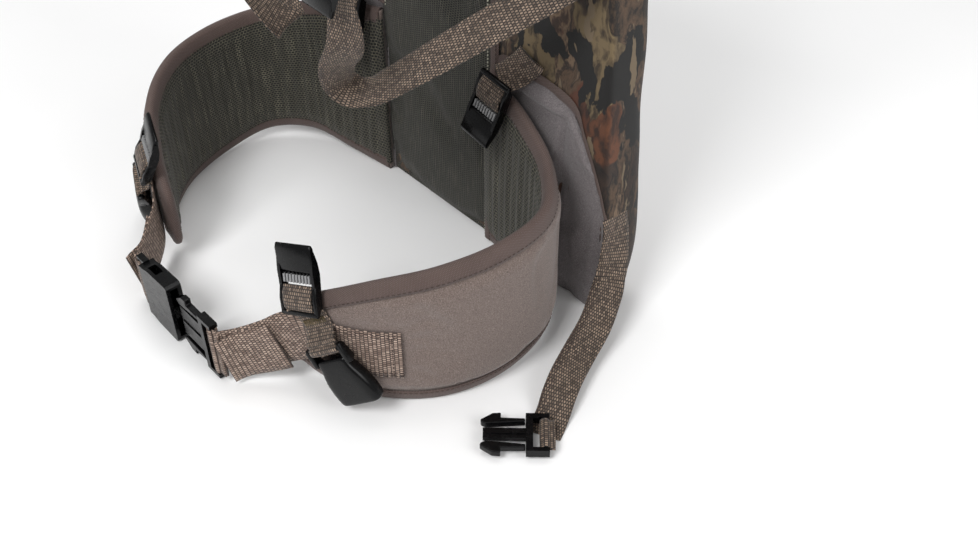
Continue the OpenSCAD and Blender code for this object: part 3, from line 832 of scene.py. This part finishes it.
def make_shell():
    """The quilted rear and sides of the vest as one closed pillow with a rounded rim."""
    half = body_half()
    spine = np.column_stack([half[:, 0] * 0.3, np.clip(half[:, 1], 110, 360)])
    rings = []
    front = [(0.5, 1.6), (0.2, 1.2), (0.04, 0.8), (0.012, 1.2), (0.003, 2.6), (0.0, 5.5)]
    rear = [(0.0, 24), (0.006, 33), (0.025, 38.5), (0.06, 41.6), (0.12, 43.2), (0.25, 43.9)]
    rear += [(0.5, BODY_T), (0.75, BODY_T)]
    for share, y in front + rear:
        flat = half + (spine - half) * share
        flat[half[:, 1] < 1, 1] = np.minimum(spine[half[:, 1] < 1, 1] * share, 400)
        right = [(x, y, z) for x, z in flat]
        left = [(-x, y, z) for x, z in flat[-2:0:-1]]
        rings.append(right + left)
    n = len(half)
    total = 2 * n - 2
    ob = grid("shell_cover", np.array(rings), wrap=True)
    faces = [tuple(p.vertices) for p in ob.data.polygons]
    last = (len(rings) - 1) * total

    def caps(base, flip):
        out = []
        for i in range(n - 1):
            j = (total - i) % total
            k = (total - i - 1) % total
            quad = [base + i, base + i + 1, base + k, base + j]
            quad = [q for t, q in enumerate(quad) if q not in quad[:t]]
            if len(quad) > 2:
                out.append(tuple(quad[::-1] if flip else quad))
        return out

    faces += caps(0, True) + caps(last, False)
    verts = [tuple(v.co) for v in ob.data.vertices]
    bpy.data.objects.remove(ob)
    ob = make("shell_cover", verts, faces)
    modify(ob, "SUBSURF", levels=2)
    co = np.array([v.co for v in ob.data.vertices])
    back = smoothstep((co[:, 1] + 0.012) / 0.02)
    quilt = 0.9 * np.sin(co[:, 2] * 75 + 2.2 * np.sin(co[:, 0] * 26))
    quilt += 0.7 * np.sin(co[:, 0] * 64 + co[:, 2] * 31)
    co[:, 1] += back * quilt * MM
    co[:, 2] = np.maximum(co[:, 2], 0.0)
    ob.data.vertices.foreach_set("co", co.ravel())
    finish_piece(ob, CAMO, replaces=["outer_shell", "back_foam"])


def rim_points(ob, n):
    """The outermost points of a sheet whose rows hold n points."""
    count = len(ob.data.vertices)
    return [i for i in range(count) if i % n in (0, n - 1) or i < n or i >= count - n]


def make_back_mesh():
    """The spacer mesh over the wearer's back, eased into soft hollows."""
    xs = np.linspace(-MESH_HALF, MESH_HALF, 45)
    half = body_half()
    order = np.argsort(half[:, 0])
    top_x, top_z = half[order, 0], half[order, 1]
    keep = top_z > 430
    rows = []
    for v in np.linspace(0, 1, 120):
        row = []
        for x in xs:
            z_top = np.interp(abs(x), top_x[keep], top_z[keep]) - 2
            z = 2 + (z_top - 2) * v
            edge = min(MESH_HALF - abs(x), z, z_top - z)
            puff = 1.6 * smoothstep(edge / 18)
            row.append((x, 0.2 - puff - 0.25 * math.sin(z * 0.05 + x * 0.03), z))
        rows.append(row)
    ob = grid("back_mesh_panel", rows)
    relax(ob, rim_points(ob, len(xs)), 0.6, 0.012, 2.0)
    finish_piece(ob, BACK_MESH, replaces=["back_mesh"])


def make_face_panel(name, side):
    """The brushed panel beside the mesh, creased where the body turns under the wing."""
    count = 64
    rows = []
    for x in np.linspace(64, 187, count):
        top = np.interp(x, [p[0] for p in FACE_TOP], [p[1] for p in FACE_TOP])
        row = []
        for z in np.linspace(1, top, count):
            inside = smoothstep(min(x - 64, 189 - x, top - z) / 14)
            crease = 2.4 * math.exp(-((x - 131 - 0.08 * z) / 4.5) ** 2)
            crease += 1.6 * math.exp(-((x - 158 + 0.1 * z) / 5) ** 2)
            crease += 1.2 * math.exp(-((z - 96 - 0.3 * (x - 170)) / 2.6) ** 2) * smoothstep((x - 168) / 8)
            row.append((x, 0.3 + (crease - 2.9) * inside - 0.3 * math.sin(x * 0.11 + z * 0.07), z))
        rows.append(row)
    ob = grid("face_panel_" + name, rows, side)
    relax(ob, rim_points(ob, count), 0.8, 0.03, 2.2)
    finish_piece(ob, FACE, slot="belt_fabric", replaces=["side_face_" + name])
    trim = [(x, 0.2, z) for x, z in FACE_TOP]
    path = smooth_path([(66, 0.2, 168)] + trim[1:] + [(189, 4, 84)], 8)
    rows = [[p + np.array([0, -0.9 * (1 - abs(a)), 4.6 * a]) for a in np.linspace(-1, 1, 5)] for p in path]
    tape = grid("face_tape_" + name, rows, side)
    finish_piece(tape, TAPE)


def make_seam_tapes():
    """Tapes over the long seams beside the mesh: the left one runs on down over the wing's root."""
    for name, side in SIDES.items():
        low = 3 if side > 0 else 166
        heights = np.linspace(low, 440, 90)
        proud = [1.2 + 6.2 * (1 - smoothstep((z - 152) / 12)) for z in heights]
        rows = []
        for z, p in zip(heights, proud):
            crown = [(t, 0.3 - p * min(1, 6 * min(t, 1 - t) + 0.45)) for t in np.linspace(0, 1, 9)]
            rows.append([(63 + 9 * t, y - 0.8 * math.sin(math.pi * t), z) for t, y in crown])
        ob = grid("seam_tape_" + name, rows, side)
        finish_piece(ob, TAPE, replaces=["root_tape"])
        front = [(0, -1, 0)] * len(heights)
        points = [(61.6, -1.6 - 0.5 * (p - 1.2), z) for z, p in zip(heights, proud)]
        sew("seam_overlock_" + name, points, front, side, (1.7, 1.3, 0.6), "binding_tape", PALE_THREAD)
        points = [(70.6, -0.7 - p, z) for z, p in zip(heights, proud)]
        sew("seam_stitch_" + name, points, front, side, (2.6, 1.0, 0.35), "binding_tape")


# ---- padded wings

END_ROUND = 15
fine = smooth_path(WING, WING_STEPS)
arc = lengths(fine[:, :2])
LONG = arc[-1]
BELT_START = arc[66]


def wing_at(s):
    """Centre, outward normal, bottom, top and half thickness at a length along the wing."""
    s = min(max(s, 0), LONG)
    c = np.array([np.interp(s, arc, fine[:, k]) for k in range(5)])
    a = np.array([np.interp(max(s - 3, 0), arc, fine[:, k]) for k in range(2)])
    b = np.array([np.interp(min(s + 3, LONG), arc, fine[:, k]) for k in range(2)])
    t = unit(b - a)
    low, high = c[2], c[3]
    over = s - (LONG - END_ROUND)
    if over > 0:
        cut = END_ROUND - math.sqrt(max(END_ROUND ** 2 - over ** 2, 0))
        low, high = low + cut, high - cut
    return c[:2], np.array([-t[1], t[0]]), low, high, c[4] / 2


def wing_spot(s, z, off):
    c, n, _, _, _ = wing_at(s)
    p = c + n * off
    return np.array([p[0], p[1], z])


def wing_half(s, z, outer):
    """Distance from the wing's middle surface to one face: pinched at the edge, full inside the seam."""
    _, _, low, high, half = wing_at(s)
    edge = min(z - low, high - z, LONG - s + 1.5)
    rise = smoothstep(edge / 20) ** 0.6
    groove = 1.1 * math.exp(-((edge - 11.5) / 2.2) ** 2)
    full = half + (1.2 if outer else 0.4)
    return 2.0 + (full - 2.0) * rise - groove * min(1, half / 6)


ROOT_OUT = wing_spot(0, 0, 1) - wing_spot(0, 0, 0)
TIP_ON = wing_spot(LONG, 0, 0) - wing_spot(LONG - 1, 0, 0)


def make_wing_cover(name, side):
    columns = np.concatenate([np.linspace(0, LONG - 22, 104), np.linspace(LONG - 20, LONG, 16)])
    heights = np.concatenate([np.linspace(0, 0.16, 9), np.linspace(0.19, 0.81, 26), np.linspace(0.84, 1, 9)])
    rings, pinned = [], []
    for s in columns:
        _, _, low, high, _ = wing_at(s)
        ring = []
        for outer, order in ((True, heights), (False, heights[::-1])):
            for v in order:
                z = low + (high - low) * v
                edge = min(z - low, high - z, LONG - s)
                under_belt = s > BELT_START - 6 and 24 < z < 80
                if edge < 12.5 or s < 3 or not outer or under_belt:
                    pinned.append(len(rings) * 2 * len(heights) + len(ring))
                ring.append(wing_spot(s, z, wing_half(s, z, outer) * (1 if outer else -1)))
        rings.append(ring)
    ob = grid("wing_cover_" + name, rings, side, wrap=True, caps=True)
    relax(ob, pinned, 1.6, 0.02, 1.5)
    finish_piece(
        ob, FABRIC, replaces=["root_pad_" + name, "wing_pad_" + name],
        blend=wing_blend(name, side),
    )


def wing_blend(name, side):
    return bend("wing_" + name, (168, -46, 70), (187, -112, 70), side)


def make_wing_lining(name, side):
    """Mesh on the wearer's side of the wing, gathered into fine upright pleats."""
    rows = []
    for s in np.linspace(4, LONG - 9, 230):
        _, _, low, high, _ = wing_at(s)
        row = []
        for v in np.linspace(0, 1, 34):
            z = low + 6 + (high - low - 12) * v
            pleat = 0.55 * math.sin(s * 0.62 + 1.2 * math.sin(z * 0.03))
            pleat += 0.35 * math.sin(s * 0.27 + z * 0.02)
            tuck = smoothstep(min(v, 1 - v) / 0.12)
            row.append(wing_spot(s, z, -wing_half(s, z, False) - 1.4 + pleat * tuck * 0.9))
        rows.append(row)
    wrap = []
    for depth, lift in ((5.4, 4.5), (5.6, 2.5), (5.1, 0.6)):
        wrap.append([p - np.array([depth, 0, 0]) + ROOT_OUT * lift for p in rows[0]])
    ob = grid("wing_lining_" + name, wrap + rows, side, turned=True)
    finish_piece(
        ob, LINING, replaces=["root_mesh_" + name, "wing_mesh_" + name],
        blend=wing_blend(name, side),
    )


def wing_rim():
    """Points (s, z) and outward directions of the wing's rim: along the top, round the end and back below."""
    r = END_ROUND
    high, low = wing_at(LONG - r)[3], wing_at(LONG - r)[2]

    def corner(angles, z):
        return [
            (LONG - r + r * math.cos(a), z + r * math.sin(a), (math.cos(a), math.sin(a))) for a in angles
        ]

    out = [(s, wing_at(s)[3], (0, 1)) for s in np.linspace(1, LONG - r, 150)]
    out += corner(np.linspace(math.pi / 2, 0, 12)[1:], high - r)
    out += [(LONG, z, (1, 0)) for z in np.linspace(high - r, low + r, 10)[1:-1]]
    out += corner(np.linspace(0, -math.pi / 2, 12), low + r)
    return out + [(s, wing_at(s)[2], (0, -1)) for s in np.linspace(LONG - r, 1, 150)[1:]]


def make_wing_binding(name, side):
    """Tape folded over the whole rim of the wing and stitched through near its inner edge."""
    rim = wing_rim()
    reach = 10.5
    outer = [(reach, 1), (reach * 0.66, 1), (reach * 0.33, 1), (1.0, 1), (-0.9, 0.55)]
    section = outer + [(-1.4, 0)] + [(depth, -face) for depth, face in outer[::-1]]
    rows = []
    for s, z, d in rim:
        row = []
        for depth, face in section:
            at, height = s - d[0] * depth, z - d[1] * depth
            off = face * 3.0
            if abs(face) == 1:
                off = face * (max(wing_half(min(at, LONG), height, face > 0), 2.0) + 0.75)
            row.append(wing_spot(min(at, LONG), height, off) + TIP_ON * max(at - LONG, 0))
        rows.append(row)
    ob = grid("wing_rim_tape_" + name, rows, side, turned=True)
    modify(ob, "SOLIDIFY", thickness=0.0007, offset=-1.0)
    used = ["wing_binding_" + name]
    if side > 0:
        used.append("root_binding")
    finish_piece(ob, TAPE, replaces=used, blend=wing_blend(name, side))
    for face, label in ((1, "outer"), (-1, "inner")):
        points, normals = [], []
        for s, z, d in rim:
            at, height = s - d[0] * 8.6, z - d[1] * 8.6
            n = wing_at(at)[1]
            points.append(wing_spot(at, height, face * (wing_half(at, height, face > 0) + 1.15)))
            normals.append((n[0] * face, n[1] * face, 0))
        title = "wing_rim_stitch_%s_%s" % (name, label)
        sew(title, points, normals, side, (2.8, 1.0, 0.42), "binding_tape", blend=wing_blend(name, side))


# ---- shoulders, webbing and stubs

SHOULDER_LINE = smooth_path(SHOULDER_ROUTE, 10)


def shoulder_at(i):
    """Place, across direction, outward normal and share along the shoulder pad."""
    line = SHOULDER_LINE
    t = tangent(line, i)
    n = -unit(np.cross((1, 0, 0), t))
    w = unit(np.array([1, 0, 0]) - t[0] * t)
    return line[i], w, n, i / (len(line) - 1)


def make_shoulder(name, side):
    """Camouflage pad with mesh below, tape round its long edges and harness webbing along its back."""
    half_t = 5.5
    cover, lining, web = [], [], []
    edges = {1: [], -1: []}
    for i in range(len(SHOULDER_LINE)):
        c, w, n, t = shoulder_at(i)
        half_w = (68 - 24 * t ** 1.5) / 2
        web_w = (44 - 19 * t ** 1.5) / 2
        shares = np.linspace(-1, 1, 21)
        thick = [1.6 + (half_t - 0.6) * smoothstep((1 - abs(a)) * half_w / 13) ** 0.6 for a in shares]
        top = [c + w * a * half_w + n * h for a, h in zip(shares, thick)]
        low = [c + w * a * half_w - n * h for a, h in zip(shares[::-1], thick[::-1])]
        cover.append(top + low)
        inner = half_w - 5
        under = [np.interp(a * inner / half_w, shares, thick) + 0.7 for a in shares]
        lining.append([c + w * a * inner - n * h for a, h in zip(shares, under)])
        band = np.linspace(-1, 1, 9)
        lift = [np.interp(a * web_w / half_w, shares, thick) + 0.2 for a in band]
        face = [c + w * a * web_w + n * (h + WEB_T) for a, h in zip(band, lift)]
        web.append(face + [c + w * a * web_w + n * h for a, h in zip(band[::-1], lift[::-1])])
        for e in edges:
            rim = []
            for depth, face in ((9, 1), (5, 1), (1, 1), (-0.8, 0.4), (-0.8, -0.4), (1, -1), (5, -1), (9, -1)):
                a = 1 - depth / half_w
                h = np.interp(a, shares, thick) + 0.6 if abs(face) == 1 else 2.0
                rim.append(c + w * e * a * half_w + n * face * h)
            edges[e].append(rim)
    ob = grid("shoulder_cover_" + name, cover, side, wrap=True, caps=True, turned=True)
    finish_piece(ob, CAMO, replaces=["shoulder_pad_" + name])
    ob = grid("shoulder_lining_" + name, lining, side)
    finish_piece(ob, LINING, replaces=["shoulder_mesh_" + name])
    run = grid("shoulder_run", web, side, wrap=True, caps=True, turned=True)
    ob = join("shoulder_webbing_" + name, [run, loop_strap(PAD_LOCK, WEB, 11, side)])
    finish_piece(ob, HARNESS, replaces=["shoulder_web_" + name])
    for e, rows in edges.items():
        label = "outer" if e > 0 else "inner"
        ob = grid("shoulder_tape_%s_%s" % (name, label), rows, side * e)
        finish_piece(ob, TAPE)
        points = [row[0] * 0.3 + row[1] * 0.7 for row in rows]
        normals = [shoulder_at(i)[2] for i in range(len(rows))]
        sew("shoulder_stitch_%s_%s" % (name, label), points, normals, side, (), "binding_tape")


def belt_route():
    first = [tuple(outer_point(i, 2.6, 52)) + (0, 0, 1) for i in range(33, 44, 2)]
    x, y, z = WAIST
    return first + [(86, -222.5, 42, 0, 0, 1), (70, -240.5, 33, 0, 0, 1), (x + 8, y + 0.6, z + 1, 0, 0, 1)]


def make_belt(name, side):
    """Belt webbing on the outside of the wing, its sewn end, its folded free end and the buckle loop."""
    route = belt_route()
    run = strap("belt_run", route, BELT, side)
    loop = loop_strap((WAIST, (-1, 0, 0), (0, -1, 0)), BELT, 9, side)
    free = zip(route[:-4:-1], (6, 0, 2))
    fold = [(x + dx, y - 2.6, z - 3.5, 0, 0, 1) for (x, y, z, *_), dx in free]
    tail = strap("belt_tail", fold, BELT, side)
    ob = join("belt_webbing_" + name, [run, loop, tail])
    finish_piece(ob, HARNESS, body="wing_" + name, slot="webbing", replaces=["belt_web_" + name])
    seams = edge_seams(route[:6], BELT, (0.9, -0.9, 0.78, -0.78), wing_normal(38), side, 2.8, 1.0, 0.3)
    out = wing_normal(33)
    for step in (0, 3):
        start = smooth_path(route[:3], 8)[step, :3] + out * (WEB_T / 2)
        points = [start + np.array([0, 0, dz]) for dz in np.linspace(-20, 20, 12)]
        seams.append(stitches("s", points, [out] * 12, side, 2.6, 0.9, 0.34))
    finish_piece(join("belt_stitch_" + name, seams), DARK_THREAD, body="wing_" + name, slot="webbing")


def bar_tack(name, centre, across, normal, width, side, body):
    """A dense block of stitches across a strap."""
    along = np.cross(unit(normal), unit(across))
    seams = []
    for k in range(-2, 3):
        base = np.array(centre) + along * k * 1.1
        points = [base + unit(across) * a for a in np.linspace(-width / 2, width / 2, 10)]
        seams.append(stitches("s", points, [normal] * 10, side, 1.9, 0.35, 0.38))
    finish_piece(join(name, seams), OLIVE_THREAD, body=body, slot="webbing")


def make_stub(name, route, width, where, tail, side, **on):
    """Webbing from where it is sewn down to a fitting, with the loop that turns round the fitting's bar."""
    run = strap("run", route, width, side)
    finish_piece(join(name, [run, loop_strap(where, WEB, tail, side)]), STRAP, **on)


def make_stubs(name, side):
    """Short webbing stubs that hold the fittings, with their bar tacks."""
    wing = "wing_" + name
    out = wing_normal(42)
    across = (out[1], -out[0], 0)
    x, y, _ = outer_point(42, 2.6, 0)
    end = np.array(WING_LOCK[0]) - unit(WING_LOCK[1]) * 6.5
    route = [(x, y, z) + across for z in (74.5, 76.5, 79.3)] + [tuple(end) + across]
    node = "lock_stub_"
    make_stub(node + "webbing_" + name, route, WEB - 2, WING_LOCK, 7, side, body=wing, replaces=[node + name])
    centre = (x + out[0] * 1.2, y + out[1] * 1.2, 77)
    bar_tack(node + "tack_" + name, centre, across, out, 20, side, wing)

    route = bar_route(CLIP_FEMALE, [(-5.5, 0.4), (-8.5, -2.5), (-12.5, -7.6), (-20, -9.6), (-30, -9.9)])
    node = "clip_stub_"
    make_stub(node + "webbing_" + name, route, WEB, CLIP_FEMALE, 7, side, body=wing, replaces=[node + name])
    centre = fit(*CLIP_FEMALE)((-19, 0, -8.6))
    bar_tack(node + "tack_" + name, centre, route[0][3:], CLIP_FEMALE[2], 21, side, wing)

    route = [
        (107, -0.9, 192, 0.8, 0, -0.6), (106, -1.2, 190, 0.8, 0, -0.6), (100, -3, 182, 0.85, 0, -0.5),
        (94, -8, 176, 0.95, 0, -0.3), tuple(fit(*SIDE_LOCK)((-6.5, 0, 0))) + (1, 0, -0.13),
    ]
    make_stub("side_stub_webbing_" + name, route, WEB, SIDE_LOCK, 6.5, side, replaces=["lock_anchors"])


def make_chest_strap():
    for name, side in SIDES.items():
        line = [(92, -130, 404), (70, -134, 404), (48, -139.5, 402), (21, -141, 401)]
        ob = strap("chest_webbing_" + name, [p + (0, 0, 1) for p in line], 20, side)
        finish_piece(ob, STRAP, replaces=["chest_strap"])


# ---- rear harness

PATCH_Z = 318
REAR = BODY_T + 1.0


def make_harness():
    """Two straps that cross under the dorsal patch, a band over the hips, a haul loop and stitching."""
    for name, side in SIDES.items():
        y = REAR + (0.4 if side > 0 else 2.1)
        route = [(96, y, 458, 1, 0, 0), (60, y, 394, 1, 0, 0.35), (6, y + 0.5, PATCH_Z - 4, 1, 0, 0.5),
                 (-66, y, 208, 1, 0, 0.45), (-134, y, 98, 1, 0, 0.35)]
        ob = strap("harness_cross_" + name, route, BELT, side)
        finish_piece(ob, HARNESS, replaces=["harness_web"])
        seams = edge_seams(route, BELT, (0.85, -0.85), (0, 1, 0), side)
        finish_piece(join("harness_stitch_" + name, seams), DARK_THREAD, slot="harness_webbing")
    places = [(x, REAR + 3.9 - 0.0006 * max(abs(x) - 60, 0) ** 1.6) for x in np.linspace(-156, 156, 9)]
    ob = strap("harness_band", [(x, y, 74, 0, 0, 1) for x, y in places], BELT)
    finish_piece(ob, HARNESS, replaces=["harness_web"])
    z = SHOULDER_Z - 25
    half = [(-30, z - 4), (-30, z + 3), (-26, z + 15), (-12, z + 25.5)]
    loop = half + [(-x, height) for x, height in half[::-1]]
    ob = strap("haul_webbing", [(x, 30, height, 0, 1, 0) for x, height in loop], 20)
    finish_piece(ob, STRAP, replaces=["haul_loop"])


# ---- the whole vest

stand_camera()
for strap_name, strap_side in SIDES.items():
    clip_parts = ("clip_prong_rear_", "clip_prong_front_", "clip_male_")
    clip = [refine(part + strap_name, 0.8) for part in clip_parts]
    make_hip_strap(strap_name, strap_side)
    make_sling(strap_name, strap_side)
set_studio()
make_shell()
make_back_mesh()
for strap_name, strap_side in SIDES.items():
    make_face_panel(strap_name, strap_side)
    make_wing_cover(strap_name, strap_side)
    make_wing_lining(strap_name, strap_side)
    make_wing_binding(strap_name, strap_side)
    make_shoulder(strap_name, strap_side)
    make_belt(strap_name, strap_side)
    make_stubs(strap_name, strap_side)
make_seam_tapes()
make_chest_strap()
make_harness()
make_fittings()
